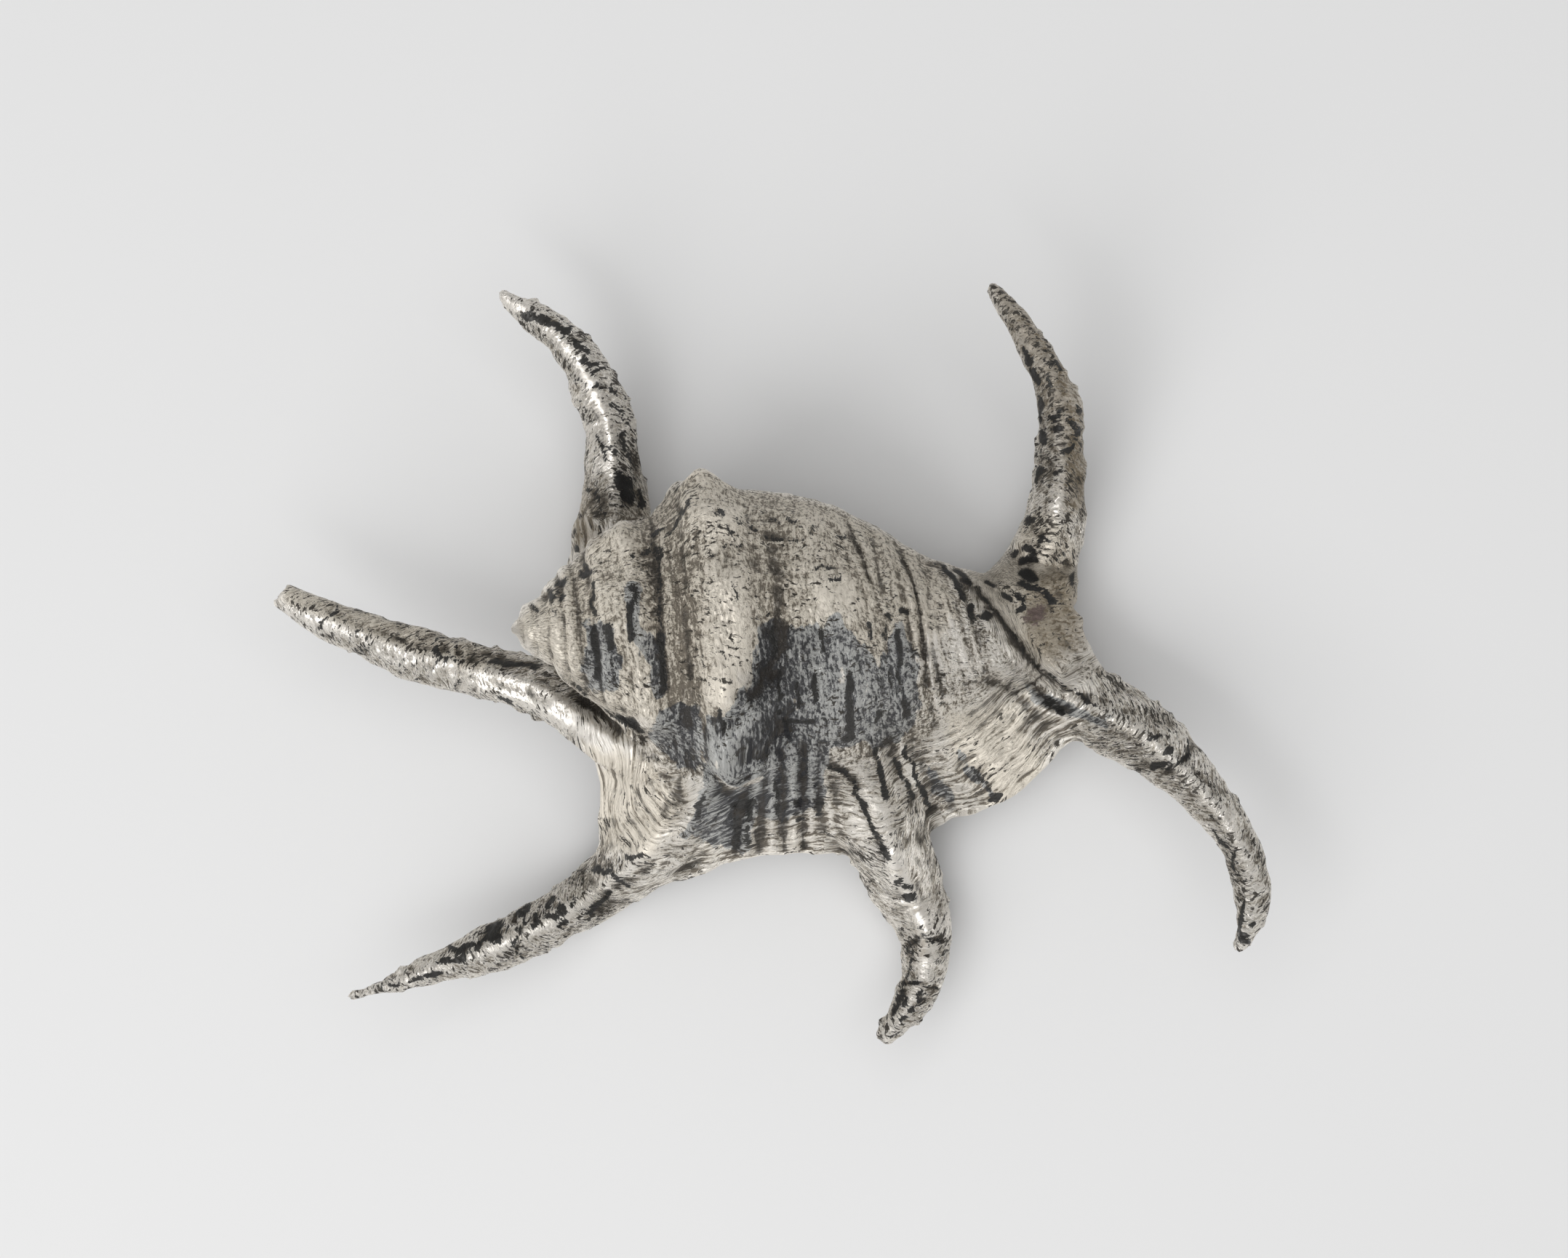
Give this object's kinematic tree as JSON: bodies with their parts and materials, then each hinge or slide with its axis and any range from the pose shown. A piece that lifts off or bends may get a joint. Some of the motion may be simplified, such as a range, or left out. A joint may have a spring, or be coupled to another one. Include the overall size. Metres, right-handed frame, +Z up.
{
  "type": "silver-clad spider conch shell",
  "caption": "Spider conch seashell in an aged silver skin: low knobbed spire, wide body whorl, flared lip with hooked digits and a mouth slit underneath; lies mouth down as a display piece.",
  "frame": {"origin": "on the surface the shell rests on, below the middle of its outline", "axes": "+X from the spire to the siphon end, along the greatest length; +Y away from the flared lip; +Z up, out of the back of the shell"},
  "size_m": [0.2403, 0.1838, 0.0788],
  "materials": {
    "silver_skin": "thin silver skin over shell, worn bright on the digits and knobs, tarnished grey-brown to black in the hollows"
  },
  "bodies": {
    "root": {"shell": "silver_skin"}
  },
  "joints": []
}
